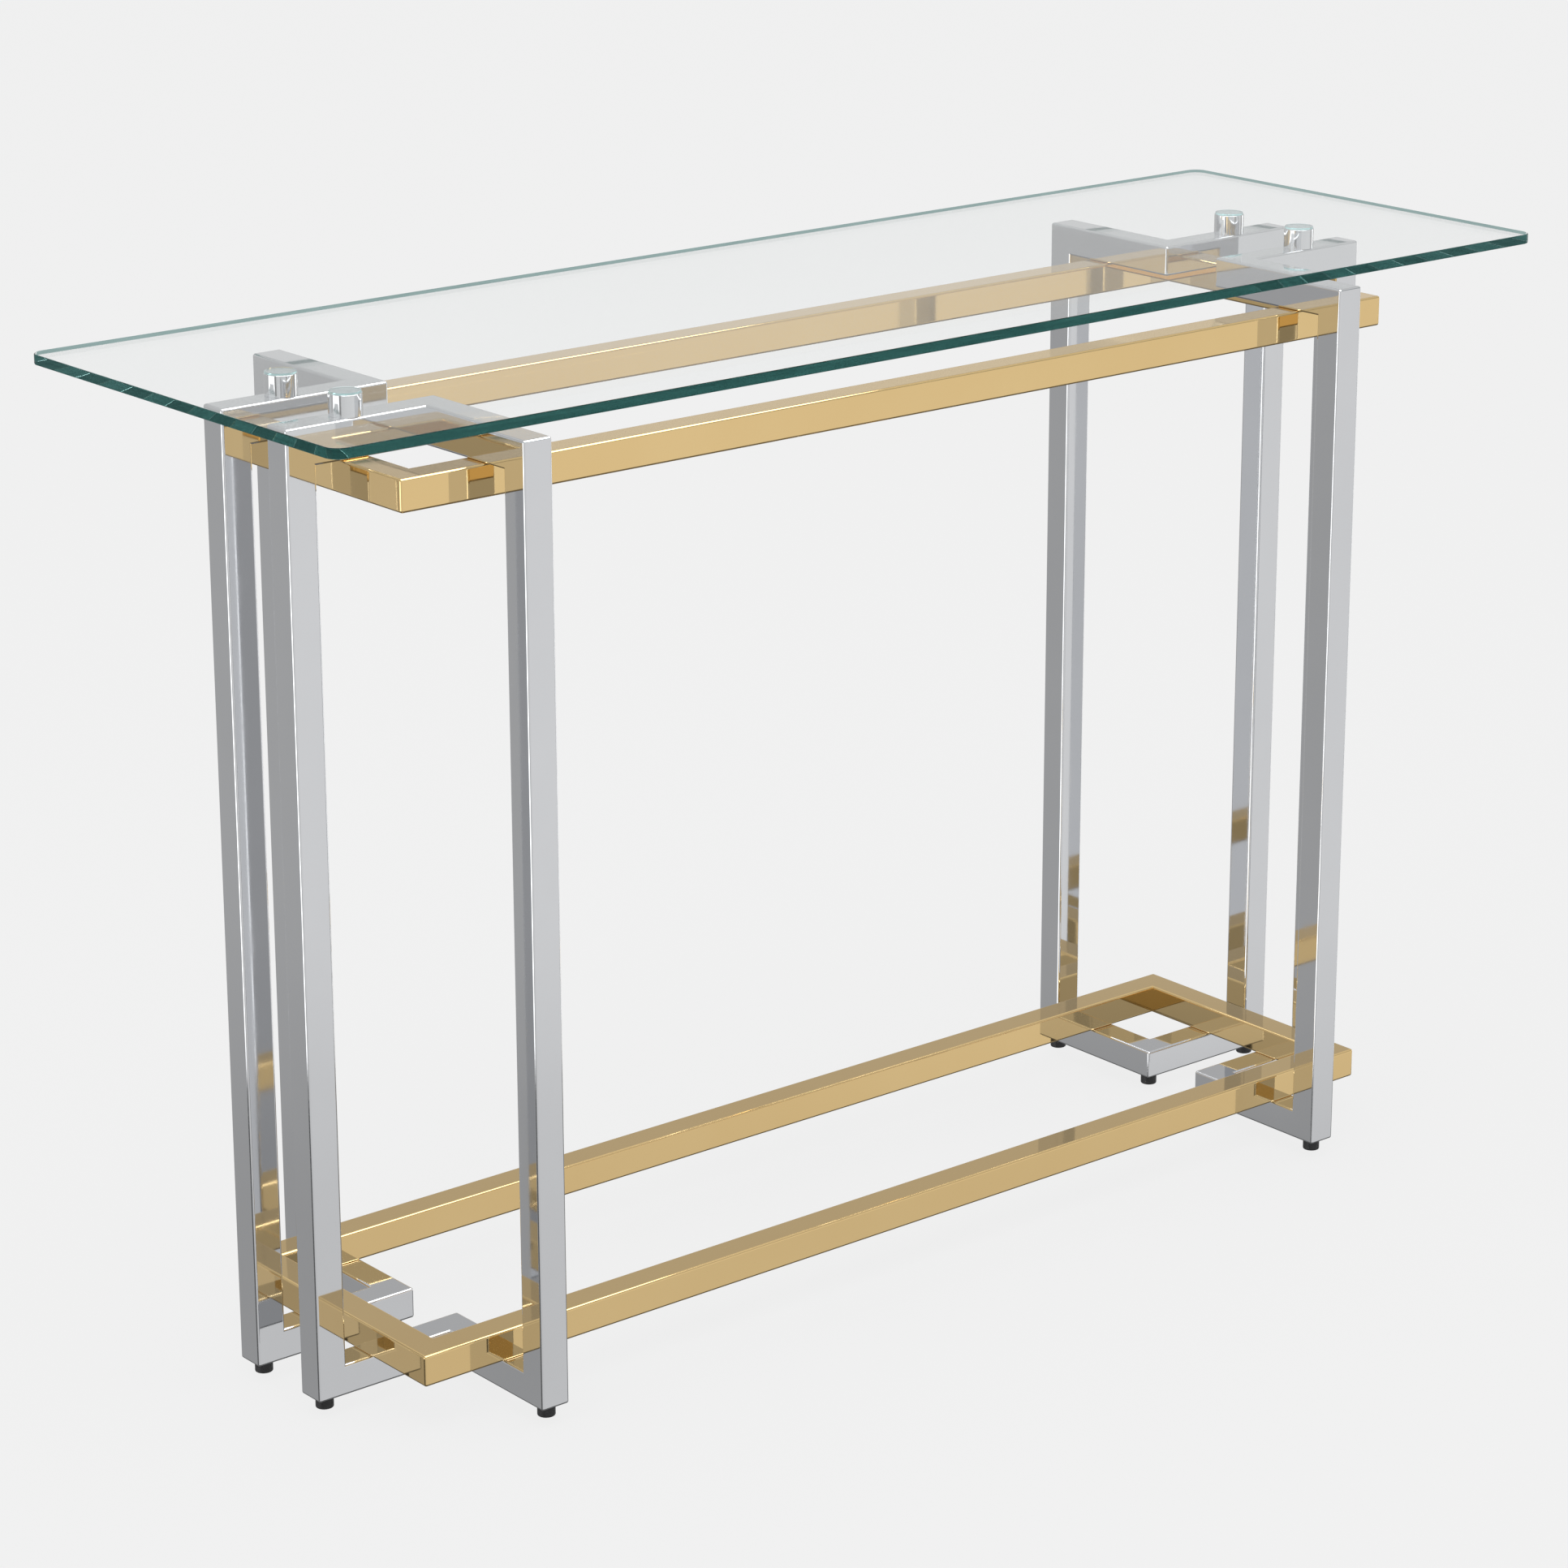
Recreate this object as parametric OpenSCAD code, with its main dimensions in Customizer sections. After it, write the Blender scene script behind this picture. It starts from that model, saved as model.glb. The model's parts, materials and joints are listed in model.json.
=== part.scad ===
// Console table: a clear glass top on four chrome loops, tied together by two gold frames.
// Millimetres, +Z up, +X along the length, the front faces -Y.
// The origin is on the floor, under the middle of the table.

/* [Glass top] */
// Length of the glass top
glass_length = 1200; // [1180:5:1400]
// Depth of the glass top
glass_depth = 400; // [380:5:500]
// Thickness of the glass top
glass_thickness = 8; // [6:1:12]
// Radius of the glass top's corners, seen from above
glass_corner_r = 12; // [4:1:40]

/* [Gold frames] */
// Outside length of both gold frames
frame_length = 992; // [960:2:1060]
// Outside depth of both gold frames
frame_depth = 252; // [240:2:280]

/* [Chrome loops] */
// Height of a chrome loop, from its base arms to its top arms
loop_height = 746; // [500:2:900]
// Clear gap between a gold frame and the legs beside it
loop_gap = 22; // [16:1:30]
// From the table's middle to the near face of an end leg, along Y
end_leg_offset = 29; // [22:1:34]
// From the table's middle to the near face of a side leg, along X
side_leg_offset = 398; // [360:2:404]

/* [Square tube] */
// Outside width of the square tube
tube_size = 25; // [24:1:28]
// Wall thickness of the square tube
tube_wall = 1.2; // [1:0.1:1.4]
// Outside corner radius of the square tube
tube_r = 2; // [1.5:0.1:3]

/* [Standoffs] */
// Diameter of the chrome posts under the glass
standoff_d = 25; // [18:1:25]
// Height of the chrome posts
standoff_height = 16.5; // [14:0.5:30]
// Diameter of the clear pads that bond the glass to the posts
pad_d = 23.5; // [12:0.5:25]
// Thickness of the clear pads
pad_thickness = 1.5; // [1:0.5:3]

/* [Levelling feet] */
// Diameter of a levelling foot
foot_d = 14; // [12:1:20]
// Height of the loops above the floor with the feet screwed home
foot_height = 10; // [8:0.5:16]
// Diameter of a foot's threaded stud
foot_stud_d = 6; // [5:1:6]
// Length of a foot's threaded stud
foot_stud_length = 18; // [16:1:20]

/* [Screws] */
// Diameter of the long bolts that clamp the standoffs
long_bolt_d = 8; // [6:1:8]
// Diameter of the frame screws
screw_d = 6; // [4:1:6]
// Width across the flats of the nuts
nut_width = 10; // [9:0.5:11]
// Height of the nuts
nut_height = 6; // [5:0.5:7]

/* [Hidden] */
$fn = 64;
hex_sides = 6;
// Clearance all round a thread in its nut, and all round a screw in a plain hole
thread_play = 0.05;
hole_play = 0.25;
// How far a cutting shape runs past the face that it cuts
over = 1;
// Gap between a foot's shoulder and the tube above it
foot_gap = 0.3;
// A screw head's diameter and height, and its hex socket's width, as multiples of the thread's
// diameter
head_width = 1.75;
head_depth = 0.55;
socket_width = 0.75;
// Shares of a screw head's height that are its chamfered rim and its socket
head_rim_share = 0.4;
socket_depth = 0.6;
// Clearance all round a screw head in its access hole
access_play = 0.5;
// Chamfers on a standoff's rim and under a foot
standoff_chamfer = 0.5;
foot_chamfer = 0.8;
// Threaded length of a standoff, and how far screws run on through their nuts
standoff_thread = 13;
bolt_end_gap = 2;
screw_end = 3;

half_tube = tube_size / 2;
frame_screw_length = 2 * tube_wall + nut_height + screw_end;
bore_size = tube_size - 2 * tube_wall;
bore_r = tube_r - tube_wall;

// Heights of the main levels
loop_bottom = foot_height;
loop_top = foot_height + loop_height;
lower_frame_z = loop_bottom + tube_size + half_tube;
upper_frame_z = loop_top - tube_size - half_tube;
glass_bottom = loop_top + standoff_height + pad_thickness;

// Middles of the glass top's rounded corners
glass_corner_x = glass_length / 2 - glass_corner_r;
glass_corner_y = glass_depth / 2 - glass_corner_r;

// Outer faces of the legs, and the middle lines of legs and arms
end_leg_outer = frame_length / 2 + loop_gap + tube_size;
side_leg_outer = frame_depth / 2 + loop_gap + tube_size;
end_leg_x = end_leg_outer - half_tube;
end_leg_y = end_leg_offset + half_tube;
side_leg_x = side_leg_offset + half_tube;
side_leg_y = side_leg_outer - half_tube;
end_arm_length = end_leg_outer - side_leg_offset;
side_arm_length = side_leg_outer - end_leg_offset;

// Where the arms cross the gold rails, in one quarter of the table
end_cross = [frame_length / 2 - half_tube, end_leg_y];
side_cross = [side_leg_x, frame_depth / 2 - half_tube];
feet_xy = [[end_leg_x, end_leg_y], [side_leg_x, side_leg_y], [side_leg_x, end_leg_y]];

// Puts what was drawn in the back right quarter into any quarter of the table.
module in_quarter(side_x, side_y) {
    mirror([side_x < 0 ? 1 : 0, 0, 0])
        mirror([0, side_y < 0 ? 1 : 0, 0])
            children();
}

module in_all_quarters() {
    for (side_x = [-1, 1], side_y = [-1, 1])
        in_quarter(side_x, side_y) children();
}

// ---- Square tube ----

// A square with rounded corners, centred.
module rounded_square(size, r) {
    square([size, size - 2 * r], center = true);
    square([size - 2 * r, size], center = true);
    for (x = [-1, 1], y = [-1, 1])
        translate([x * (size / 2 - r), y * (size / 2 - r)]) circle(r);
}

// Outline of one mitred end, at x = 0: the inside of the bend is +Y, and its outer corner is round.
module mitre_outline(length) {
    polygon([
        [tube_r, -half_tube], [length, -half_tube], [length, half_tube],
        [tube_size, half_tube], [tube_r, tube_r - half_tube]
    ]);
    intersection() {
        translate([tube_r, tube_r - half_tube]) circle(tube_r);
        polygon([[0, -half_tube], [tube_r, -half_tube], [tube_r, tube_r - half_tube]]);
    }
}

// A cutter that keeps what lies behind a mitre. turn spins the bend about the tube's own axis.
module mitre(length, turn) {
    rotate([turn, 0, 0])
        translate([0, 0, -half_tube])
            linear_extrude(tube_size) mitre_outline(length);
}

// Square tube along +X from 0 to length, mitred at both ends.
// start_turn and end_turn give each bend's direction: 0 is +Y, 90 is +Z, 180 is -Y, -90 is -Z.
module tube(length, start_turn, end_turn) {
    difference() {
        intersection() {
            rotate([90, 0, 90]) linear_extrude(length) rounded_square(tube_size, tube_r);
            mitre(length, start_turn);
            translate([length, 0, 0]) mirror([1, 0, 0]) mitre(length, end_turn);
        }
        translate([-over, 0, 0])
            rotate([90, 0, 90])
                linear_extrude(length + 2 * over) rounded_square(bore_size, bore_r);
    }
}

// A plain vertical hole through whatever lies between two heights.
module hole(xy, d, low, high) {
    translate([xy[0], xy[1], low]) cylinder(d = d, h = high - low);
}

// ---- Chrome loops, drawn in the back right quarter ----

module end_leg() {
    color("gainsboro")
        translate([end_leg_x, end_leg_y, loop_bottom])
            rotate([0, -90, 0]) tube(loop_height, 90, 90);
}

module side_leg() {
    color("gainsboro")
        translate([side_leg_x, side_leg_y, loop_bottom])
            rotate([0, -90, 0]) tube(loop_height, 180, 180);
}

// An arm from an end leg to the elbow. leg_turn points along the leg that it meets.
module end_arm(z, leg_turn) {
    translate([end_leg_outer, end_leg_y, z])
        rotate([0, 0, 180]) tube(end_arm_length, leg_turn, 180);
}

// An arm from a side leg to the elbow.
module side_arm(z, leg_turn) {
    translate([side_leg_x, side_leg_outer, z])
        rotate([0, 0, -90]) tube(side_arm_length, leg_turn, 0);
}

module top_end_arm() {
    color("gainsboro")
        difference() {
            end_arm(loop_top - half_tube, -90);
            hole(end_cross, long_bolt_d + 2 * hole_play, loop_top - tube_size - over, loop_top + over);
        }
}

module top_side_arm() {
    color("gainsboro")
        difference() {
            side_arm(loop_top - half_tube, -90);
            hole(side_cross, screw_d + 2 * hole_play, loop_top - tube_size - over, loop_top - half_tube);
        }
}

// Holes for a screw whose head sits inside a tube: a wide one in the wall below, where the head
// goes in, and a plain one in the wall above, on which the head bears.
module screw_holes(xy, d, tube_bottom, top) {
    hole(xy, head_width * d + 2 * access_play, tube_bottom - over, tube_bottom + half_tube);
    hole(xy, d + 2 * hole_play, tube_bottom + half_tube - over, top);
}

module foot_holes() {
    for (xy = feet_xy)
        hole(xy, foot_stud_d + 2 * hole_play, loop_bottom - over, loop_bottom + half_tube);
}

module base_end_arm() {
    color("gainsboro")
        difference() {
            end_arm(loop_bottom + half_tube, 90);
            foot_holes();
            screw_holes(end_cross, screw_d, loop_bottom, loop_bottom + tube_size + over);
        }
}

module base_side_arm() {
    color("gainsboro")
        difference() {
            side_arm(loop_bottom + half_tube, 90);
            foot_holes();
            screw_holes(side_cross, screw_d, loop_bottom, loop_bottom + tube_size + over);
        }
}

// ---- Gold frames ----

// A rail along X, at the back. turn 180 bends both of its ends towards the front.
module long_rail() {
    translate([-frame_length / 2, frame_depth / 2 - half_tube, 0]) tube(frame_length, 180, 180);
}

// A rail along Y, at the right.
module short_rail() {
    translate([frame_length / 2 - half_tube, -frame_depth / 2, 0])
        rotate([0, 0, 90]) tube(frame_depth, 0, 0);
}

// Screw holes of an upper rail, right through, and of a lower rail, in its underside only, with
// the rails' middle line at z = 0.
module upper_holes() {
    for (side = [-1, 1]) {
        screw_holes([side * side_cross[0], side_cross[1]], screw_d, -half_tube, tube_size);
        screw_holes([end_cross[0], side * end_cross[1]], long_bolt_d, -half_tube, tube_size);
    }
}

module lower_holes() {
    for (side = [-1, 1]) {
        hole([side * side_cross[0], side_cross[1]], screw_d + 2 * hole_play, -tube_size, 0);
        hole([end_cross[0], side * end_cross[1]], screw_d + 2 * hole_play, -tube_size, 0);
    }
}

module upper_long_rail() {
    color("goldenrod")
        translate([0, 0, upper_frame_z])
            difference() {
                long_rail();
                upper_holes();
            }
}

module upper_short_rail() {
    color("goldenrod")
        translate([0, 0, upper_frame_z])
            difference() {
                short_rail();
                upper_holes();
            }
}

module lower_long_rail() {
    color("goldenrod")
        translate([0, 0, lower_frame_z])
            difference() {
                long_rail();
                lower_holes();
            }
}

module lower_short_rail() {
    color("goldenrod")
        translate([0, 0, lower_frame_z])
            difference() {
                short_rail();
                lower_holes();
            }
}

// ---- Glass top and what carries it ----

module glass_top() {
    color("lightcyan", 0.4)
        translate([0, 0, glass_bottom])
            linear_extrude(glass_thickness) {
                square([glass_length, glass_depth - 2 * glass_corner_r], center = true);
                square([glass_length - 2 * glass_corner_r, glass_depth], center = true);
                for (x = [-1, 1], y = [-1, 1])
                    translate([x * glass_corner_x, y * glass_corner_y]) circle(glass_corner_r);
            }
}

module glass_pads() {
    color("white", 0.6)
        in_all_quarters()
            translate([end_cross[0], end_cross[1], glass_bottom - pad_thickness])
                cylinder(d = pad_d, h = pad_thickness);
}

module standoff() {
    rim_z = standoff_height - standoff_chamfer;
    rim_d = standoff_d - 2 * standoff_chamfer;
    color("silver")
        translate([end_cross[0], end_cross[1], loop_top])
            difference() {
                union() {
                    cylinder(d = standoff_d, h = rim_z);
                    translate([0, 0, rim_z])
                        cylinder(d1 = standoff_d, d2 = rim_d, h = standoff_chamfer);
                }
                translate([0, 0, -over])
                    cylinder(d = long_bolt_d, h = standoff_thread + over);
            }
}

// ---- Levelling feet ----

// A moulded foot with its stud, screwed home: its underside is on the floor.
module foot(which) {
    base_top = foot_height - foot_gap;
    color("black")
        translate([feet_xy[which][0], feet_xy[which][1], 0]) {
            cylinder(d1 = foot_d - 2 * foot_chamfer, d2 = foot_d, h = foot_chamfer);
            translate([0, 0, foot_chamfer]) cylinder(d = foot_d, h = base_top - foot_chamfer);
            translate([0, 0, base_top]) cylinder(d = foot_stud_d, h = foot_stud_length);
        }
}

// ---- Screws and nuts ----

// A hex nut that lies on z = 0.
module nut(thread_d) {
    difference() {
        cylinder(d = nut_width / cos(180 / hex_sides), h = nut_height, $fn = hex_sides);
        translate([0, 0, -over]) cylinder(d = thread_d + 2 * thread_play, h = nut_height + 2 * over);
    }
}

// A socket screw that points up, with its head under z = 0.
module screw(d, length) {
    head_h = head_depth * d;
    rim_h = head_rim_share * head_h;
    head_d = head_width * d;
    difference() {
        union() {
            translate([0, 0, -head_h]) cylinder(d1 = head_d - 2 * rim_h, d2 = head_d, h = rim_h);
            translate([0, 0, rim_h - head_h]) cylinder(d = head_d, h = head_h - rim_h);
            cylinder(d = d - 2 * thread_play, h = length);
        }
        translate([0, 0, -head_h - over])
            cylinder(d = socket_width * d, h = socket_depth * head_h + over, $fn = hex_sides);
    }
}

module foot_nuts() {
    color("darkgray")
        in_all_quarters()
            for (xy = feet_xy)
                translate([xy[0], xy[1], loop_bottom + tube_wall]) nut(foot_stud_d);
}

module standoff_bolts() {
    color("darkgray")
        in_all_quarters()
            translate([end_cross[0], end_cross[1], upper_frame_z + half_tube - tube_wall])
                screw(long_bolt_d, tube_wall + tube_size + standoff_thread - bolt_end_gap);
}

module upper_frame_screws() {
    color("darkgray")
        in_all_quarters()
            translate([side_cross[0], side_cross[1], upper_frame_z + half_tube - tube_wall])
                screw(screw_d, frame_screw_length);
}

module upper_frame_nuts() {
    color("darkgray")
        in_all_quarters()
            translate([side_cross[0], side_cross[1], loop_top - tube_size + tube_wall]) nut(screw_d);
}

module lower_frame_screws() {
    color("darkgray")
        in_all_quarters()
            for (xy = [end_cross, side_cross])
                translate([xy[0], xy[1], loop_bottom + tube_size - tube_wall])
                    screw(screw_d, frame_screw_length);
}

module lower_frame_nuts() {
    color("darkgray")
        in_all_quarters()
            for (xy = [end_cross, side_cross])
                translate([xy[0], xy[1], loop_bottom + tube_size + tube_wall]) nut(screw_d);
}

// ---- Nodes ----

glass_top();
glass_pads();

in_quarter(-1, -1) standoff();  // standoff_front_left
in_quarter(1, -1) standoff();  // standoff_front_right
in_quarter(-1, 1) standoff();  // standoff_back_left
in_quarter(1, 1) standoff();  // standoff_back_right

in_quarter(-1, -1) end_leg();  // front_left_end_leg
in_quarter(-1, -1) side_leg();  // front_left_side_leg
in_quarter(-1, -1) top_end_arm();  // front_left_top_end_arm
in_quarter(-1, -1) top_side_arm();  // front_left_top_side_arm
in_quarter(-1, -1) base_end_arm();  // front_left_base_end_arm
in_quarter(-1, -1) base_side_arm();  // front_left_base_side_arm

in_quarter(1, -1) end_leg();  // front_right_end_leg
in_quarter(1, -1) side_leg();  // front_right_side_leg
in_quarter(1, -1) top_end_arm();  // front_right_top_end_arm
in_quarter(1, -1) top_side_arm();  // front_right_top_side_arm
in_quarter(1, -1) base_end_arm();  // front_right_base_end_arm
in_quarter(1, -1) base_side_arm();  // front_right_base_side_arm

in_quarter(-1, 1) end_leg();  // back_left_end_leg
in_quarter(-1, 1) side_leg();  // back_left_side_leg
in_quarter(-1, 1) top_end_arm();  // back_left_top_end_arm
in_quarter(-1, 1) top_side_arm();  // back_left_top_side_arm
in_quarter(-1, 1) base_end_arm();  // back_left_base_end_arm
in_quarter(-1, 1) base_side_arm();  // back_left_base_side_arm

in_quarter(1, 1) end_leg();  // back_right_end_leg
in_quarter(1, 1) side_leg();  // back_right_side_leg
in_quarter(1, 1) top_end_arm();  // back_right_top_end_arm
in_quarter(1, 1) top_side_arm();  // back_right_top_side_arm
in_quarter(1, 1) base_end_arm();  // back_right_base_end_arm
in_quarter(1, 1) base_side_arm();  // back_right_base_side_arm

in_quarter(1, -1) upper_long_rail();  // upper_front_rail
in_quarter(1, 1) upper_long_rail();  // upper_back_rail
in_quarter(-1, 1) upper_short_rail();  // upper_left_rail
in_quarter(1, 1) upper_short_rail();  // upper_right_rail

in_quarter(1, -1) lower_long_rail();  // lower_front_rail
in_quarter(1, 1) lower_long_rail();  // lower_back_rail
in_quarter(-1, 1) lower_short_rail();  // lower_left_rail
in_quarter(1, 1) lower_short_rail();  // lower_right_rail

in_quarter(-1, -1) foot(0);  // foot_front_left_end
in_quarter(-1, -1) foot(1);  // foot_front_left_side
in_quarter(-1, -1) foot(2);  // foot_front_left_elbow
in_quarter(1, -1) foot(0);  // foot_front_right_end
in_quarter(1, -1) foot(1);  // foot_front_right_side
in_quarter(1, -1) foot(2);  // foot_front_right_elbow
in_quarter(-1, 1) foot(0);  // foot_back_left_end
in_quarter(-1, 1) foot(1);  // foot_back_left_side
in_quarter(-1, 1) foot(2);  // foot_back_left_elbow
in_quarter(1, 1) foot(0);  // foot_back_right_end
in_quarter(1, 1) foot(1);  // foot_back_right_side
in_quarter(1, 1) foot(2);  // foot_back_right_elbow

foot_nuts();
standoff_bolts();
upper_frame_screws();
upper_frame_nuts();
lower_frame_screws();
lower_frame_nuts();
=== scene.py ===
"""Console table: a clear glass top on four chrome loops, tied together by two gold frames.

Every length is in metres, in the CAD model's own frame: +Z up, the front faces -Y.
"""

import json
from math import cos, pi, radians

import bmesh
import bpy
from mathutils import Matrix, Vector


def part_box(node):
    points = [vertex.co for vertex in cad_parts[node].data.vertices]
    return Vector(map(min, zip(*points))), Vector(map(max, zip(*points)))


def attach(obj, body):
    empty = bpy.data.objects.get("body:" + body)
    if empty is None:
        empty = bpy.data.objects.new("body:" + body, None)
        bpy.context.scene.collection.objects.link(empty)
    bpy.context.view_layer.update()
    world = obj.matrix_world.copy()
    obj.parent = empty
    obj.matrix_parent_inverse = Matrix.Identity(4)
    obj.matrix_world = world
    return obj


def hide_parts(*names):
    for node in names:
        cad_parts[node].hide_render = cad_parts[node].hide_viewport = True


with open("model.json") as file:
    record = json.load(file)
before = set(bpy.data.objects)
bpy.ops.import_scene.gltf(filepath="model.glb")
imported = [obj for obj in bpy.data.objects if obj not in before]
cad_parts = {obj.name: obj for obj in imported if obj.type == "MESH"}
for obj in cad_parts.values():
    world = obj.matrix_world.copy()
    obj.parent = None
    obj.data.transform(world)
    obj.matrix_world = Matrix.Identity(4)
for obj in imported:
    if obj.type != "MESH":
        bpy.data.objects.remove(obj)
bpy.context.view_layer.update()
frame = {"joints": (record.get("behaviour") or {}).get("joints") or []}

MM = 0.001

# ---------------------------------------------------------------- sizes read from the frame

CORNERS = {
    "front_left": (-1, -1),
    "front_right": (1, -1),
    "back_left": (-1, 1),
    "back_right": (1, 1),
}
TABLE = "table"


def middle_of(node):
    """The middle of a CAD node's box."""
    low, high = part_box(node)
    return (low + high) / 2


glass_low, glass_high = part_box("glass_top")
rail_low, rail_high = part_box("upper_front_rail")
lower_low, lower_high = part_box("lower_front_rail")
TUBE = rail_high.z - rail_low.z
LOOP_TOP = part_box("front_left_top_end_arm")[1].z
LOOP_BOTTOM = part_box("front_left_base_end_arm")[0].z

# ---------------------------------------------------------------- workshop sizes

TUBE_WALL = 1.2 * MM
TUBE_ROUND = 2 * MM
BORE_ROUND = TUBE_ROUND - TUBE_WALL
ROUND_STEPS = 6
SMOOTH_ANGLE = radians(28)
TOUCHING = 0.001 * MM
QUARTER_ROUND = 0.5
PARALLEL = 0.99
FACING = 0.9

GLASS_CORNER = 12 * MM
GLASS_CORNER_STEPS = 20
GLASS_ARRIS = 0.8 * MM
GLASS_ARRIS_STEPS = 2

POST_ROUND = 0.5 * MM
POST_THREAD_DEPTH = 13 * MM
PAD_ROUND = 0.25 * MM
PAD_AIR = 0.03 * MM
ROUND_SIDES = 96
RIM_STEPS = 3

FOOT_ROUND = 0.8 * MM
FOOT_TOP_ROUND = 0.35 * MM
FOOT_DISH_RIM = 1.6 * MM
FOOT_DISH_DEPTH = 0.5 * MM
STUD_LENGTH = 18 * MM

M6, M8 = 6 * MM, 8 * MM
PITCH = {M6: 1 * MM, M8: 1.25 * MM}
THREAD_DEPTH_SHARE = 0.54
THREAD_STEPS = 20
HEAD_WIDTH = 1.75
HEAD_DEPTH = 0.55
SOCKET_WIDTH = 0.75
SOCKET_DEPTH = 0.6
HEAD_RIM_SHARE = 0.4
HOLE_PLAY = 0.25 * MM
NUT_WIDTH = 10 * MM
NUT_HEIGHT = 6 * MM
SCREW_END = 3 * MM
BOLT_END_GAP = 2 * MM
ACCESS_PLAY = 0.5 * MM
NUT_CHAMFER = 0.7 * MM


# ---------------------------------------------------------------- hand tools


def clear_selection():
    """Leaves nothing selected, in object mode."""
    if bpy.context.object and bpy.context.object.mode == "EDIT":
        bpy.ops.object.mode_set(mode="OBJECT")
    bpy.ops.object.select_all(action="DESELECT")


def start_edit():
    bpy.ops.object.mode_set(mode="EDIT")


def end_edit():
    bpy.ops.object.mode_set(mode="OBJECT")


def pick_faces(test, among_picked=False):
    """Picks the faces whose middle and normal pass the test."""
    bpy.ops.mesh.select_mode(type="FACE")
    shape = bmesh.from_edit_mesh(bpy.context.object.data)
    chosen = [
        face
        for face in shape.faces
        if (face.select or not among_picked)
        and test(face.calc_center_median(), face.normal)
    ]
    bpy.ops.mesh.select_all(action="DESELECT")
    for face in chosen:
        face.select_set(True)
    bmesh.update_edit_mesh(bpy.context.object.data)


def pick_edges(test, among_picked=False):
    """Picks the edges whose two ends pass the test."""
    bpy.ops.mesh.select_mode(type="EDGE")
    shape = bmesh.from_edit_mesh(bpy.context.object.data)
    chosen = [
        edge
        for edge in shape.edges
        if (edge.select or not among_picked)
        and test(edge.verts[0].co, edge.verts[1].co)
    ]
    bpy.ops.mesh.select_all(action="DESELECT")
    for edge in chosen:
        edge.select_set(True)
    bmesh.update_edit_mesh(bpy.context.object.data)


def add_block(middle, size):
    """A block at its size and place."""
    clear_selection()
    bpy.ops.mesh.primitive_cube_add(size=1, location=middle, scale=size)
    bpy.ops.object.transform_apply(location=True, rotation=True, scale=True)
    return bpy.context.object


def add_rod(foot, radius, height, sides=ROUND_SIDES):
    """An upright rod whose underside is centred on foot."""
    clear_selection()
    bpy.ops.mesh.primitive_cylinder_add(
        vertices=sides,
        radius=radius,
        depth=height,
        location=foot + Vector((0, 0, height / 2)),
    )
    bpy.ops.object.transform_apply(location=True, rotation=True, scale=True)
    return bpy.context.object


def round_rim(height, width, steps=RIM_STEPS):
    """Rounds the sharp rim that lies at one height of the rod being edited."""
    pick_edges(lambda a, b: max(abs(a.z - height), abs(b.z - height)) < TOUCHING)
    bpy.ops.mesh.bevel(offset=width, segments=steps, profile=QUARTER_ROUND, affect="EDGES")


def round_outer_rim(height, radius, width):
    """Rounds the outer rim at one height, and leaves the rim of a bore as it is."""
    shape = bmesh.from_edit_mesh(bpy.context.object.data)
    low_x = min(v.co.x for v in shape.verts)
    low_y = min(v.co.y for v in shape.verts)
    middle = Vector((low_x + radius, low_y + radius, height))

    def on_rim(point):
        flat = point - middle
        return abs(flat.z) < TOUCHING and flat.length > 0.9 * radius

    pick_edges(lambda a, b: on_rim(a) and on_rim(b))
    bpy.ops.mesh.bevel(offset=width, segments=RIM_STEPS, profile=QUARTER_ROUND, affect="EDGES")


def apply_modifier(piece, kind, **settings):
    """Gives a piece one modifier and applies it."""
    clear_selection()
    piece.select_set(True)
    bpy.context.view_layer.objects.active = piece
    modifier = piece.modifiers.new(kind.title(), kind)
    for name, value in settings.items():
        setattr(modifier, name, value)
    bpy.ops.object.modifier_apply(modifier=modifier.name)


def cut_away(piece, cutter):
    """Takes the cutter's shape out of the piece, and throws the cutter away."""
    apply_modifier(
        piece, "BOOLEAN", operation="DIFFERENCE", solver="EXACT", object=cutter
    )
    bpy.data.objects.remove(cutter)


def smooth_off(piece):
    """Soft shading on round stretches, dead flat on the wide faces."""
    clear_selection()
    piece.select_set(True)
    bpy.context.view_layer.objects.active = piece
    bpy.ops.object.shade_smooth_by_angle(angle=SMOOTH_ANGLE)
    apply_modifier(
        piece, "WEIGHTED_NORMAL", mode="FACE_AREA", weight=100, keep_sharp=True
    )


def finish_piece(piece, name, material, node, body=TABLE):
    """Names a piece, gives it its finish, and hangs it on its body in place of a CAD node."""
    piece.name = name
    piece.data.name = name
    piece.data.materials.clear()
    piece.data.materials.append(material)
    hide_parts(node)
    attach(piece, body)
    return piece


# ---------------------------------------------------------------- finishes


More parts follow.
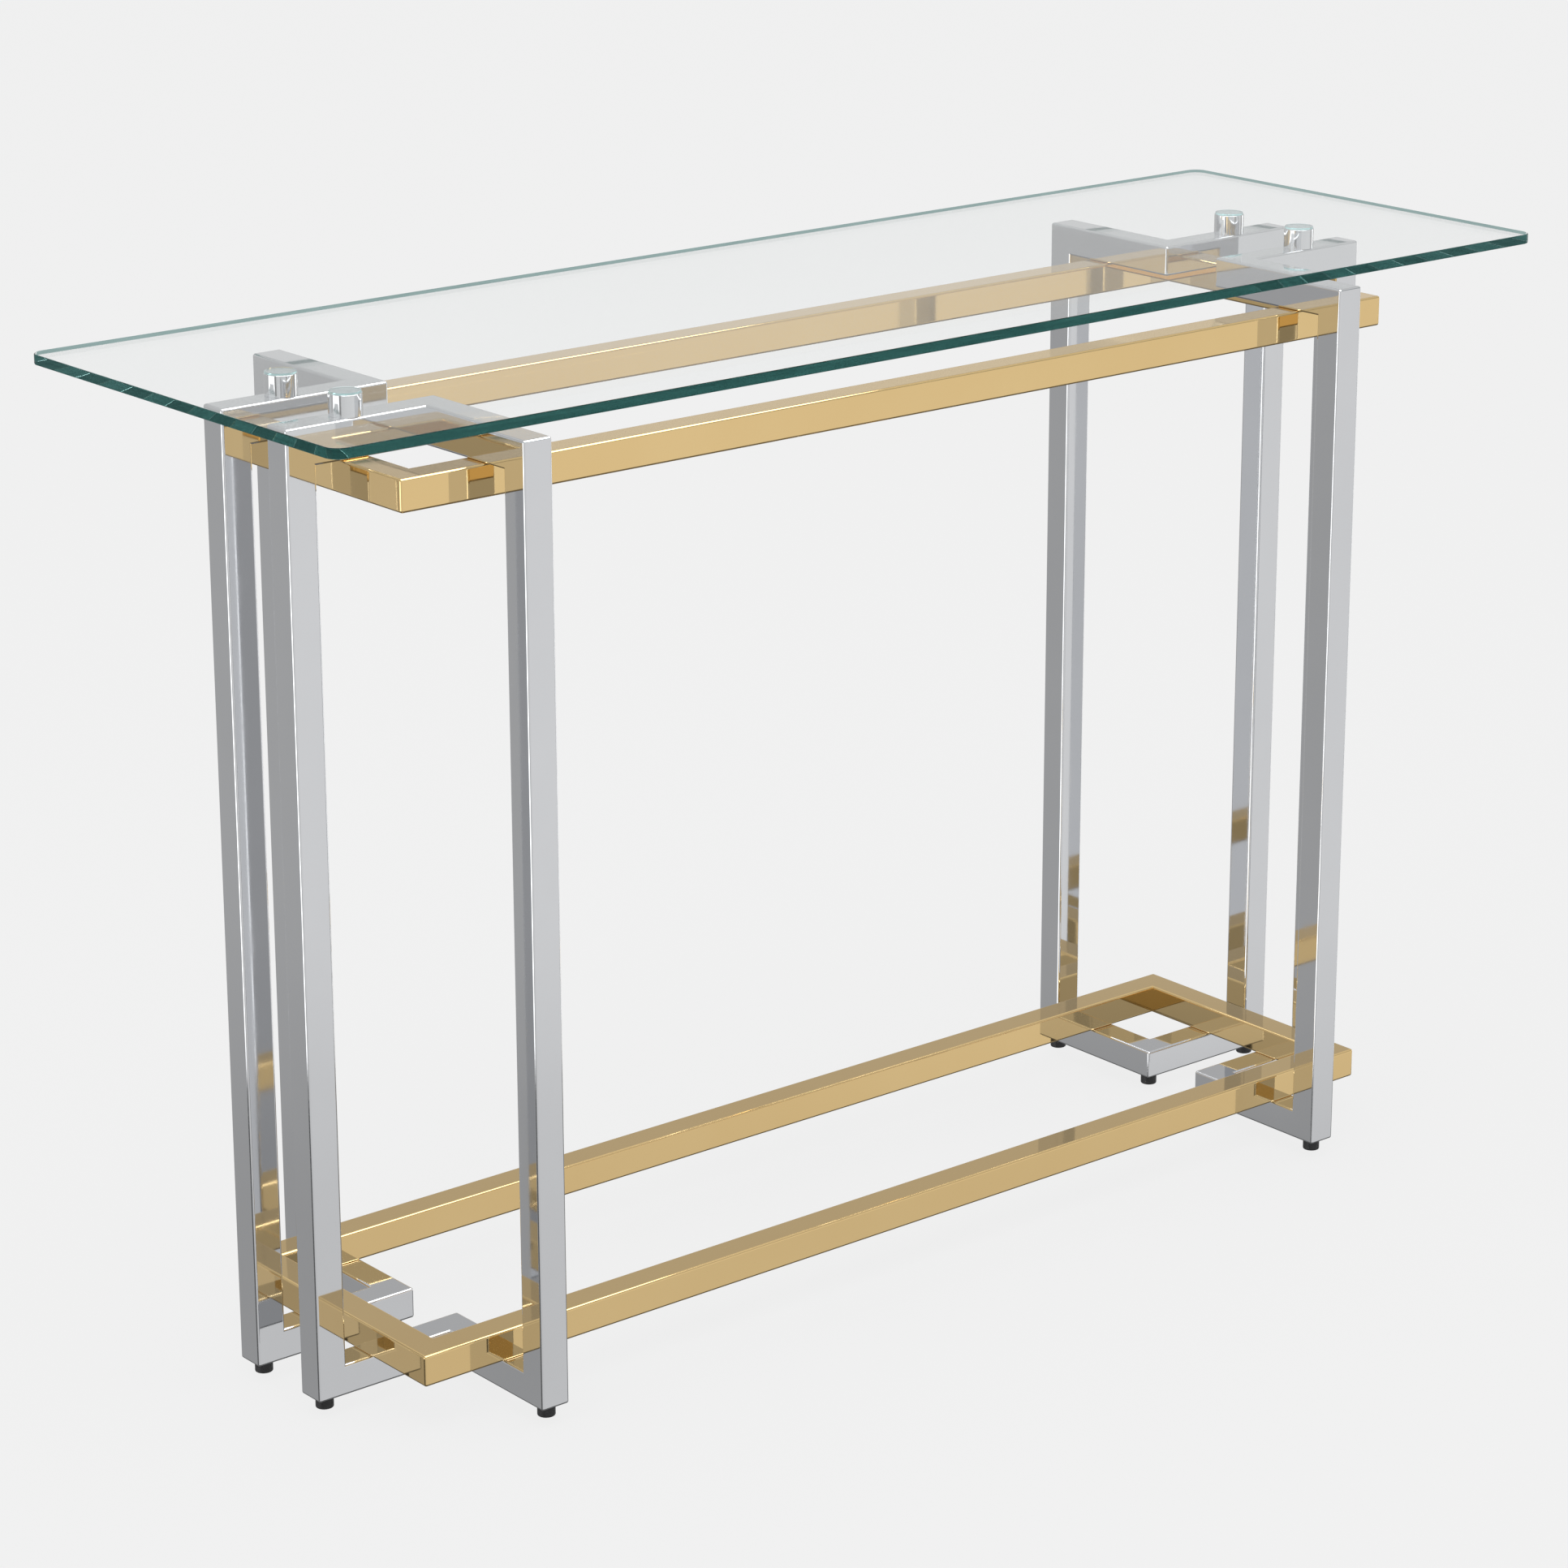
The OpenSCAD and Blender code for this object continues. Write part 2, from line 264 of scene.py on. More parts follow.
class Finish:
    """A material's node tree, with short calls for the nodes that the finishes share."""

    def __init__(self, name):
        self.material = bpy.data.materials.new(name)
        self.material.use_nodes = True
        self.tree = self.material.node_tree
        self.tree.nodes.clear()
        self.out = self.node("ShaderNodeOutputMaterial")
        self.place = self.node("ShaderNodeTexCoord").outputs["Object"]

    def node(self, kind, **inputs):
        """A new node; an input's name is written with _ for each space."""
        made = self.tree.nodes.new(kind)
        for name, value in inputs.items():
            self.put(made.inputs[name.replace("_", " ")], value)
        return made

    def put(self, socket, value):
        """Links a socket's output to this input, or sets a plain value."""
        if isinstance(value, bpy.types.NodeSocket):
            self.tree.links.new(value, socket)
        else:
            socket.default_value = value

    def stretched(self, scale):
        """The object's own coordinates, scaled along each axis."""
        made = self.node("ShaderNodeMapping", Vector=self.place)
        made.inputs["Scale"].default_value = scale
        return made.outputs["Vector"]

    def cloudy(self, scale, detail=4, roughness=0.55, stretch=None):
        """Soft clouds, with the scale in clouds a metre."""
        where = self.stretched(stretch) if stretch else self.place
        made = self.node(
            "ShaderNodeTexNoise",
            Vector=where,
            Scale=scale,
            Detail=detail,
            Roughness=roughness,
        )
        return made.outputs["Fac"]

    def between(self, amount, low, high, start=0.3, stop=0.7):
        """A number that runs from low to high as amount goes from start to stop."""
        made = self.node("ShaderNodeMapRange", Value=amount)
        for name, value in (
            ("From Min", start),
            ("From Max", stop),
            ("To Min", low),
            ("To Max", high),
        ):
            made.inputs[name].default_value = value
        return made.outputs["Result"]

    def blend(self, amount, first, second):
        """A colour between two colours."""
        made = self.node("ShaderNodeMix")
        made.data_type = "RGBA"
        self.put(made.inputs["Factor"], amount)
        for socket in made.inputs:
            if socket.type == "RGBA":
                self.put(socket, first if socket.name == "A" else second)
        return next(s for s in made.outputs if s.type == "RGBA")

    def relief(self, height, strength, distance):
        """Fine relief, too small to model."""
        made = self.node(
            "ShaderNodeBump", Height=height, Strength=strength, Distance=distance
        )
        return made.outputs["Normal"]

    def surface(self, shader):
        self.tree.links.new(shader, self.out.inputs["Surface"])

    def inside(self, shader):
        self.tree.links.new(shader, self.out.inputs["Volume"])


def grey(value):
    return (value, value, value, 1)


PLATE_ROUGHNESS = (0.025, 0.06)
PLATE_ROLL, PLATE_ROLL_DEPTH = 0.05, 1 * MM


def polished_plate(name, clean, dulled):
    """Mirror plating on hand-polished tube: a faint roll in the surface and a light haze."""
    finish = Finish(name)
    haze = finish.cloudy(9, detail=6)
    wipe = finish.cloudy(60, detail=3, stretch=(1, 1, 0.35))
    tint = finish.blend(finish.between(haze, 0.0, 1.0), clean, dulled)
    roll = finish.relief(finish.cloudy(5, detail=1), PLATE_ROLL, PLATE_ROLL_DEPTH)
    shader = finish.node(
        "ShaderNodeBsdfPrincipled",
        Base_Color=tint,
        Metallic=1.0,
        Roughness=finish.between(wipe, *PLATE_ROUGHNESS),
        Normal=roll,
    )
    finish.surface(shader.outputs["BSDF"])
    return finish.material


GLASS_BEND = 1.12
FACE_TILT = (0.9, 0.98)
FACE_HAZE = 0.004
CLEAN_SHARE = 0.2
LAMP_LIGHT_PASSED = (0.93, 0.97, 0.96, 1)


def clear_glass(name, edge_green, edge_pale, edge_dullness, absorbed, depth):
    """Float glass: clear through its faces, green where it is seen into its ground edge."""
    finish = Finish(name)
    facing = finish.node("ShaderNodeNewGeometry").outputs["True Normal"]
    upright = finish.node("ShaderNodeSeparateXYZ", Vector=facing).outputs["Z"]
    steep = finish.node("ShaderNodeMath")
    steep.operation = "ABSOLUTE"
    finish.put(steep.inputs[0], upright)
    on_face = finish.between(steep.outputs[0], 0.0, 1.0, *FACE_TILT)
    grinding = finish.cloudy(18, detail=5, stretch=(1, 1, 40))
    edge = finish.blend(finish.between(grinding, 0.0, 1.0), edge_green, edge_pale)
    haze = finish.between(finish.cloudy(12), 0.0, FACE_HAZE)
    dull = finish.between(grinding, CLEAN_SHARE * edge_dullness, edge_dullness)
    roughness = finish.node("ShaderNodeMix")
    finish.put(roughness.inputs["Factor"], on_face)
    finish.put(roughness.inputs["A"], dull)
    finish.put(roughness.inputs["B"], haze)
    glass = finish.node(
        "ShaderNodeBsdfPrincipled",
        Base_Color=finish.blend(on_face, edge, grey(1.0)),
        Roughness=roughness.outputs["Result"],
        IOR=GLASS_BEND,
        Transmission_Weight=1.0,
    )
    let_through = finish.node("ShaderNodeBsdfTransparent", Color=LAMP_LIGHT_PASSED)
    lamp_ray = finish.node("ShaderNodeLightPath").outputs["Is Shadow Ray"]
    mixed = finish.node("ShaderNodeMixShader")
    finish.put(mixed.inputs[0], lamp_ray)
    finish.put(mixed.inputs[1], glass.outputs["BSDF"])
    finish.put(mixed.inputs[2], let_through.outputs["BSDF"])
    finish.surface(mixed.outputs["Shader"])
    body = finish.node("ShaderNodeVolumeAbsorption", Color=absorbed, Density=depth)
    finish.inside(body.outputs["Volume"])
    return finish.material


NYLON_ROUGHNESS = (0.32, 0.5)
NYLON_GRAIN, NYLON_GRAIN_DEPTH = 0.25, 0.05 * MM
NYLON_BLACKS = ((0.010, 0.010, 0.010, 1), (0.024, 0.024, 0.026, 1))


def moulded_nylon(name):
    """Black moulded nylon, satin, with a fine spark-eroded grain."""
    finish = Finish(name)
    grain = finish.cloudy(2500, detail=2)
    rub = finish.cloudy(220, detail=4)
    shader = finish.node(
        "ShaderNodeBsdfPrincipled",
        Base_Color=finish.blend(finish.between(rub, 0.0, 1.0), *NYLON_BLACKS),
        Roughness=finish.between(rub, *NYLON_ROUGHNESS),
        Normal=finish.relief(grain, NYLON_GRAIN, NYLON_GRAIN_DEPTH),
    )
    finish.surface(shader.outputs["BSDF"])
    return finish.material


ZINC_ROUGHNESS = (0.22, 0.38)
ZINC_LINES, ZINC_LINE_DEPTH = 0.15, 0.05 * MM
ZINC_GREYS = ((0.55, 0.56, 0.58, 1), (0.68, 0.69, 0.70, 1))


def zinc_plate(name):
    """Bright zinc on turned steel: grey, a little mottled, with fine turning lines."""
    finish = Finish(name)
    mottle = finish.cloudy(300, detail=5)
    lines = finish.cloudy(900, detail=2, stretch=(0.1, 0.1, 4))
    shader = finish.node(
        "ShaderNodeBsdfPrincipled",
        Base_Color=finish.blend(finish.between(mottle, 0.0, 1.0), *ZINC_GREYS),
        Metallic=1.0,
        Roughness=finish.between(mottle, *ZINC_ROUGHNESS),
        Normal=finish.relief(lines, ZINC_LINES, ZINC_LINE_DEPTH),
    )
    finish.surface(shader.outputs["BSDF"])
    return finish.material


CHROME = polished_plate(
    "mirror_chrome", (0.80, 0.81, 0.83, 1), (0.775, 0.785, 0.805, 1)
)
GOLD = polished_plate("mirror_gold", (0.93, 0.68, 0.33, 1), (0.91, 0.655, 0.31, 1))
GLASS = clear_glass(
    "float_glass",
    edge_green=(0.032, 0.095, 0.09, 1),
    edge_pale=(0.065, 0.165, 0.155, 1),
    edge_dullness=0.03,
    absorbed=(0.25, 0.7, 0.65, 1),
    depth=1.5,
)
PAD_CLEAR = clear_glass(
    "bonding_pad_clear",
    edge_green=(0.62, 0.86, 0.86, 1),
    edge_pale=(0.8, 0.97, 0.97, 1),
    edge_dullness=0.05,
    absorbed=(0.5, 0.9, 0.9, 1),
    depth=30.0,
)
NYLON = moulded_nylon("black_nylon")
ZINC = zinc_plate("zinc_plated_steel")

# ---------------------------------------------------------------- where each corner stands


def corner_place(corner):
    """The middle lines of one corner's end leg, side leg and elbow."""
    end = middle_of(f"{corner}_end_leg")
    side = middle_of(f"{corner}_side_leg")
    return {
        "end": Vector((end.x, end.y, 0)),
        "side": Vector((side.x, side.y, 0)),
        "elbow": Vector((side.x, end.y, 0)),
    }


PLACES = {corner: corner_place(corner) for corner in CORNERS}
RAIL_X = middle_of("upper_right_rail").x
RAIL_Y = middle_of("upper_back_rail").y


def end_crossing(corner):
    """Where the end arms cross the short rails, and the post stands."""
    return Vector((CORNERS[corner][0] * RAIL_X, PLACES[corner]["end"].y, 0))


def side_crossing(corner):
    """Where the side arms cross the long rails."""
    return Vector((PLACES[corner]["side"].x, CORNERS[corner][1] * RAIL_Y, 0))


def at_height(place, height):
    """The same place, at another height."""
    return Vector((place.x, place.y, height))


# ---------------------------------------------------------------- drilled holes


def screw_holes(place, diameter, tube_bottom, top):
    """A wide hole below for a screw's head, and a plain one above, on which the head bears."""
    half_way = tube_bottom + TUBE / 2
    head = HEAD_WIDTH * diameter / 2 + ACCESS_PLAY
    return [
        (place, head, tube_bottom - TUBE / 2, half_way),
        (place, diameter / 2 + HOLE_PLAY, half_way - MM, top),
    ]


def drilled_holes():
    """Every hole in the tubes: its place, its radius, and the heights it runs between."""
    holes = []
    for corner in CORNERS:
        for place in PLACES[corner].values():
            stud = M6 / 2 + HOLE_PLAY
            holes.append(
                (place, stud, LOOP_BOTTOM - TUBE / 2, LOOP_BOTTOM + TUBE / 2)
            )
        ends, sides = end_crossing(corner), side_crossing(corner)
        holes += screw_holes(ends, M8, rail_low.z, LOOP_TOP + TUBE / 2)
        holes += screw_holes(sides, M6, rail_low.z, rail_high.z + TUBE / 2)
        for screw in (ends, sides):
            holes += screw_holes(screw, M6, LOOP_BOTTOM, lower_low.z + TUBE / 2)
    return holes


HOLES = drilled_holes()
HOLE_SIDES = 32
SLIVER = 0.003 * MM


def close_slivers():
    """Merges and closes the hair-thin slivers that a cut can leave."""
    start_edit()
    bpy.ops.mesh.select_all(action="SELECT")
    bpy.ops.mesh.remove_doubles(threshold=SLIVER)
    bpy.ops.mesh.dissolve_degenerate(threshold=SLIVER)
    bpy.ops.mesh.select_all(action="SELECT")
    bpy.ops.mesh.fill_holes(sides=4)
    end_edit()


def drill(piece):
    """Drills the holes that fall in this piece of tube."""
    corners = [piece.matrix_world @ Vector(c) for c in piece.bound_box]
    low = [min(c[axis] for c in corners) for axis in range(3)]
    high = [max(c[axis] for c in corners) for axis in range(3)]
    for place, radius, bottom, top in HOLES:
        inside = (
            low[0] < place.x < high[0]
            and low[1] < place.y < high[1]
            and bottom < high[2]
            and top > low[2]
        )
        if inside:
            cutter = add_rod(at_height(place, bottom), radius, top - bottom, HOLE_SIDES)
            cut_away(piece, cutter)
    close_slivers()


# ---------------------------------------------------------------- square tube


def mitred_tube(start, end, arriving, leaving):
    """A hollow square tube between two corner points of a ring, mitred at both ends.

    arriving is the way the tube before it runs, and leaving is the way the next one runs.
    """
    run = (end - start).normalized()
    length = (end - start).length
    middle = (start + end) / 2

    def size(width, beyond):
        return Vector(
            [length + beyond if abs(part) > 0.5 else width for part in run]
        )

    piece = add_block(middle, size(TUBE, TUBE))
    start_edit()
    bpy.ops.mesh.select_all(action="SELECT")
    bpy.ops.mesh.bevel(
        offset=TUBE_ROUND, segments=ROUND_STEPS, profile=QUARTER_ROUND, affect="EDGES"
    )
    bpy.ops.mesh.select_all(action="DESELECT")
    bpy.ops.mesh.primitive_cube_add(
        size=1, location=middle, scale=size(TUBE - 2 * TUBE_WALL, 2 * TUBE)
    )
    bpy.ops.mesh.flip_normals()
    pick_edges(lambda a, b: abs((b - a).normalized().dot(run)) > PARALLEL, True)
    bpy.ops.mesh.bevel(
        offset=BORE_ROUND, segments=ROUND_STEPS, profile=QUARTER_ROUND, affect="EDGES"
    )
    reach = length / 2 + 0.9 * TUBE
    pick_faces(lambda where, normal: abs((where - middle).dot(run)) > reach)
    bpy.ops.mesh.delete(type="FACE")
    for corner, beyond in ((start, -(arriving + run)), (end, run + leaving)):
        bpy.ops.mesh.select_mode(type="EDGE")
        bpy.ops.mesh.select_all(action="SELECT")
        bpy.ops.mesh.bisect(
            plane_co=corner,
            plane_no=beyond.normalized(),
            clear_outer=True,
            threshold=1e-7,
        )
        bpy.ops.mesh.bridge_edge_loops()
    bpy.ops.mesh.select_all(action="SELECT")
    bpy.ops.mesh.remove_doubles(threshold=TOUCHING)
    bpy.ops.mesh.normals_make_consistent(inside=False)
    end_edit()
    drill(piece)
    smooth_off(piece)
    return piece


def ring_of_tubes(nodes, points, material):
    """A closed ring: one mitred tube from each point to the next."""
    count = len(points)
    runs = [
        (points[(i + 1) % count] - points[i]).normalized() for i in range(count)
    ]
    for i, node in enumerate(nodes):
        piece = mitred_tube(
            points[i], points[(i + 1) % count], runs[i - 1], runs[(i + 1) % count]
        )
        finish_piece(piece, f"{node}_tube", material, node)


def chrome_loop(corner):
    """One corner's 3-D ring: two legs, joined by an L of two arms above and below."""
    end, side, elbow = (PLACES[corner][key] for key in ("end", "side", "elbow"))
    top, base = LOOP_TOP - TUBE / 2, LOOP_BOTTOM + TUBE / 2
    parts = (
        "end_leg",
        "top_end_arm",
        "top_side_arm",
        "side_leg",
        "base_side_arm",
        "base_end_arm",
    )
    points = (
        at_height(end, base),
        at_height(end, top),
        at_height(elbow, top),
        at_height(side, top),
        at_height(side, base),
        at_height(elbow, base),
    )
    ring_of_tubes([f"{corner}_{p}" for p in parts], points, CHROME)


def gold_frame(level, height):
    """One gold rectangle of four rails."""
    points = [
        Vector((x * RAIL_X, y * RAIL_Y, height))
        for x, y in ((-1, -1), (1, -1), (1, 1), (-1, 1))
    ]
    nodes = [f"{level}_{side}_rail" for side in ("front", "right", "back", "left")]
    ring_of_tubes(nodes, points, GOLD)


# ---------------------------------------------------------------- glass top, pads and posts


def glass_sheet():
    """The top: a slab with rounded corners and a small polished arris all round."""
    size = glass_high - glass_low
    piece = add_block((glass_low + glass_high) / 2, size)
    start_edit()
    pick_edges(lambda a, b: abs(a.z - b.z) > size.z / 2)
    bpy.ops.mesh.bevel(
        offset=GLASS_CORNER, segments=GLASS_CORNER_STEPS, profile=QUARTER_ROUND, affect="EDGES"
    )
    pick_edges(lambda a, b: abs(a.z - b.z) < size.z / 2)
    bpy.ops.mesh.bevel(
        offset=GLASS_ARRIS, segments=GLASS_ARRIS_STEPS, profile=QUARTER_ROUND, affect="EDGES"
    )
    end_edit()
    smooth_off(piece)
    finish_piece(piece, "glass_top_sheet", GLASS, "glass_top")


def bonding_pad(corner):
    """The clear disc that bonds the glass to a post."""
    low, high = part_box("glass_pads")
    radius = high.x - RAIL_X
    place = at_height(end_crossing(corner), low.z + PAD_AIR)
    piece = add_rod(place, radius, high.z - low.z - 2 * PAD_AIR)
    start_edit()
    round_rim(low.z + PAD_AIR, PAD_ROUND)
    round_rim(high.z - PAD_AIR, PAD_ROUND)
    end_edit()
    smooth_off(piece)
    finish_piece(piece, f"glass_pad_{corner}", PAD_CLEAR, "glass_pads")


def post(corner):
    """A round chrome post, tapped from below for its bolt."""
    node = f"standoff_{corner}"
    low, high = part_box(node)
    radius = (high.x - low.x) / 2
    piece = add_rod(at_height(end_crossing(corner), low.z), radius, high.z - low.z)
    start_edit()
    pick_faces(lambda where, normal: normal.z < -FACING)
    bpy.ops.mesh.inset(thickness=radius - M8 / 2)
    bpy.ops.mesh.extrude_region_move(
        TRANSFORM_OT_translate={"value": (0, 0, POST_THREAD_DEPTH)}
    )
    round_outer_rim(low.z, radius, POST_ROUND / 2)
    round_outer_rim(high.z, radius, POST_ROUND)
    end_edit()
    smooth_off(piece)
    finish_piece(piece, f"{node}_post", CHROME, node)


# ---------------------------------------------------------------- screws, nuts and feet


def thread_ridge(foot, diameter, length):
    """One turned ridge wound up a shank of this diameter, as a closed strip."""
    pitch = PITCH[diameter]
    depth = THREAD_DEPTH_SHARE * pitch
    turns = int(length / pitch) - 1
    root = diameter / 2 - depth
    clear_selection()
    bpy.ops.mesh.primitive_circle_add(vertices=3, radius=pitch / 2, fill_type="NOTHING")
    piece = bpy.context.object
    start_edit()
    shape = bmesh.from_edit_mesh(piece.data)
    flank = (
        Vector((root - depth / 4, 0, 0)),
        Vector((diameter / 2, 0, pitch / 2)),
        Vector((root - depth / 4, 0, pitch)),
    )
    for vert, corner in zip(shape.verts, flank):
        vert.co = corner
    bmesh.update_edit_mesh(piece.data)
    end_edit()
    apply_modifier(
        piece,
        "SCREW",
        screw_offset=pitch,
        iterations=turns,
        steps=THREAD_STEPS,
        render_steps=THREAD_STEPS,
    )
    start_edit()
    bpy.ops.mesh.select_mode(type="EDGE")
    bpy.ops.mesh.select_non_manifold()
    bpy.ops.mesh.edge_face_add()
    bpy.ops.mesh.select_all(action="SELECT")
    bpy.ops.mesh.normals_make_consistent(inside=False)
    bpy.ops.transform.translate(value=foot)
    end_edit()
    return piece


def threaded_shank(foot, diameter, length):
    """A shank that runs up from foot: a core with a pointed-off end, and its thread."""
    pitch = PITCH[diameter]
    depth = THREAD_DEPTH_SHARE * pitch
    ridge = thread_ridge(foot, diameter, length)
    core = add_rod(foot, diameter / 2 - depth, length, 32)
    start_edit()
    round_rim(foot.z + length, depth, 1)
    end_edit()
    clear_selection()
    ridge.select_set(True)
    core.select_set(True)
    bpy.context.view_layer.objects.active = core
    bpy.ops.object.join()
    return core


def socket_screw(foot, diameter, length):
    """A screw that points up from under a tube, with a hex socket in its head."""
    head_height = HEAD_DEPTH * diameter
    head_radius = HEAD_WIDTH * diameter / 2
    head_foot = foot - Vector((0, 0, head_height))
    head = add_rod(head_foot, head_radius, head_height, 64)
    start_edit()
    round_rim(head_foot.z, HEAD_RIM_SHARE * head_height, 4)
    end_edit()
    depth = SOCKET_DEPTH * head_height
    socket = add_rod(
        head_foot - Vector((0, 0, depth)), SOCKET_WIDTH * diameter / 2, 2 * depth, 6
    )
    cut_away(head, socket)
    shank = threaded_shank(foot, diameter, length)
    clear_selection()
    shank.select_set(True)
    head.select_set(True)
    bpy.context.view_layer.objects.active = head
    bpy.ops.object.join()
    smooth_off(head)
    return head


def hex_nut(foot, diameter):
    """A hex nut, bored through, with its rims eased."""
    piece = add_rod(foot, NUT_WIDTH / 2 / cos(pi / 6), NUT_HEIGHT, 6)
    start_edit()
    round_rim(foot.z, NUT_CHAMFER, 2)
    round_rim(foot.z + NUT_HEIGHT, NUT_CHAMFER, 2)
    end_edit()
    bore = add_rod(foot - Vector((0, 0, NUT_HEIGHT)), diameter / 2, 3 * NUT_HEIGHT, 32)
    cut_away(piece, bore)
    smooth_off(piece)
    return piece


def copy_to(pattern, offset):
    """A copy of a piece with its own mesh, moved by offset."""
    twin = pattern.copy()
    twin.data = pattern.data.copy()
    bpy.context.scene.collection.objects.link(twin)
    clear_selection()
    twin.select_set(True)
    bpy.context.view_layer.objects.active = twin
    start_edit()
    bpy.ops.mesh.select_all(action="SELECT")
    bpy.ops.transform.translate(value=offset)
    end_edit()
    return twin


def repeat(pattern, places, name, material, slot, node, body=None):
    """Copies a pattern made at the origin to each named place, then throws it away."""
    for label, place in places.items():
        piece = copy_to(pattern, place)
        finish_piece(
            piece,
            name.format(label),
            material,
            node.format(label),
            body.format(label) if body else TABLE,
        )
    bpy.data.objects.remove(pattern)


def fasteners():
    """Bolts, screws and nuts, each made once and copied to its places."""
    origin = Vector((0, 0, 0))
    ends = {corner: end_crossing(corner) for corner in CORNERS}
    sides = {corner: side_crossing(corner) for corner in CORNERS}
    screw_length = 2 * TUBE_WALL + NUT_HEIGHT + SCREW_END
    bolt_length = TUBE_WALL + TUBE + POST_THREAD_DEPTH - BOLT_END_GAP
    rail_seat = rail_high.z - TUBE_WALL
    arm_seat = LOOP_BOTTOM + TUBE - TUBE_WALL

    def raised(places, height):
        return {key: at_height(place, height) for key, place in places.items()}

    zinc = (ZINC, "zinc_steel")
    bolt = socket_screw(origin, M8, bolt_length)
    repeat(bolt, raised(ends, rail_seat), "post_bolt_{}", *zinc, "standoff_bolts")
    screw = socket_screw(origin, M6, screw_length)
    spare = copy_to(screw, origin)
    repeat(
        screw,
        raised(sides, rail_seat),
        "upper_screw_{}",
        *zinc,
        "upper_frame_screws",
    )
    lower = {f"{key}_end": place for key, place in ends.items()}
    lower |= {f"{key}_side": place for key, place in sides.items()}
    repeat(
        spare,
        raised(lower, arm_seat),
        "lower_screw_{}",
        *zinc,
        "lower_frame_screws",
    )
    nut_jobs = (
        ("upper_nut_{}", sides, rail_high.z + TUBE_WALL, "upper_frame_nuts"),
        ("lower_nut_{}", lower, lower_low.z + TUBE_WALL, "lower_frame_nuts"),
        ("foot_nut_{}", foot_places(), LOOP_BOTTOM + TUBE_WALL, "foot_nuts"),
    )
    for name, places, height, node in nut_jobs:
        repeat(hex_nut(origin, M6), raised(places, height), name, *zinc, node)


def foot_places():
    """The twelve places of the feet, by corner and key."""
    return {
        f"{corner}_{key}": place
        for corner in CORNERS
        for key, place in PLACES[corner].items()
    }


def levelling_feet():
    """Twelve black feet, each a moulded knob on a threaded stud."""
    low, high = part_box("foot_front_left_end")
    radius = (high.x - low.x) / 2
    knob_height = high.z - low.z - STUD_LENGTH
    knob = add_rod(Vector((0, 0, 0)), radius, knob_height)
    start_edit()
    pick_faces(lambda where, normal: normal.z < -FACING)
    bpy.ops.mesh.inset(thickness=FOOT_DISH_RIM)
    bpy.ops.mesh.extrude_region_move(
        TRANSFORM_OT_translate={"value": (0, 0, FOOT_DISH_DEPTH)}
    )
    round_outer_rim(0.0, radius, FOOT_ROUND)
    round_outer_rim(knob_height, radius, FOOT_TOP_ROUND)
    end_edit()
    smooth_off(knob)
    repeat(
        knob,
        foot_places(),
        "foot_{}_knob",
        NYLON,
        "black_nylon",
        "foot_{}",
        "foot_{}",
    )
    stud = threaded_shank(Vector((0, 0, knob_height)), M6, STUD_LENGTH)
    smooth_off(stud)
    repeat(
        stud, foot_places(), "foot_{}_stud", ZINC, "zinc_steel", "foot_{}", "foot_{}"
    )


# ---------------------------------------------------------------- build the table

for corner_name in CORNERS:
    chrome_loop(corner_name)
gold_frame("upper", (rail_low.z + rail_high.z) / 2)
gold_frame("lower", (lower_low.z + lower_high.z) / 2)
for corner_name in CORNERS:
    post(corner_name)
    bonding_pad(corner_name)
glass_sheet()
fasteners()
levelling_feet()

# ---------------------------------------------------------------- studio

GLASS_BOUNCES = 24
MIRROR_BOUNCES = 20

scene = bpy.context.scene
scene.view_settings.view_transform = "Standard"
scene.view_settings.look = "None"
scene.cycles.max_bounces = GLASS_BOUNCES
scene.cycles.glossy_bounces = MIRROR_BOUNCES
scene.cycles.transmission_bounces = GLASS_BOUNCES
scene.cycles.caustics_reflective = False
scene.cycles.caustics_refractive = False

BACKDROP = 0.855
FLOOR_SIZE = 60.0
FLOOR_GLOW = 0.832
FLOOR_PAINT = 0.055
FOOT_TRAVEL = max(j["range_m"][1] for j in frame["joints"])

# What stands round the table, by compass angle in degrees: two tall white panels to the left and
# right, each with a dark flag beside it, a light front and a greyer back.
SURROUNDINGS = (
    (-180, 1.9),
    (-167, 1.9),
    (-165, 0.12),
    (-155, 0.14),
    (-151, 0.62),
    (-120, 0.70),
    (-52, 0.75),
    (-34, 0.70),
    (-24, 0.20),
    (-12, 0.14),
    (-10, 2.4),
    (2, 2.4),
    (4, 0.30),
    (30, 0.40),
    (120, 0.42),
    (146, 0.36),
    (149, 1.9),
    (180, 1.9),
)
# Heights are the upward part of a direction: 1 straight up, 0 level, -1 straight down.
PANEL_LEVEL = 1.0
PANELS_STOP = (-0.357, -0.365)
SHADE_STARTS = (-0.32, -0.40)
UNDERFOOT_STARTS = (-0.45, -0.56)
CYCLORAMA_STARTS = (0.05, 0.16)
CYCLORAMA_FADES = (0.2, 0.36)
OVERHEAD_STARTS = (0.54, 0.58)
CEILING_STARTS = (0.74, 0.78)
FLAG = 0.12
LOW_SHADE = 0.84
CYCLORAMA = 0.66
CYCLORAMA_HIGH = 0.46
OVERHEAD = 0.64
CEILING = 0.76
UNDERFOOT = 0.14
THROUGH_GLASS = 1.06


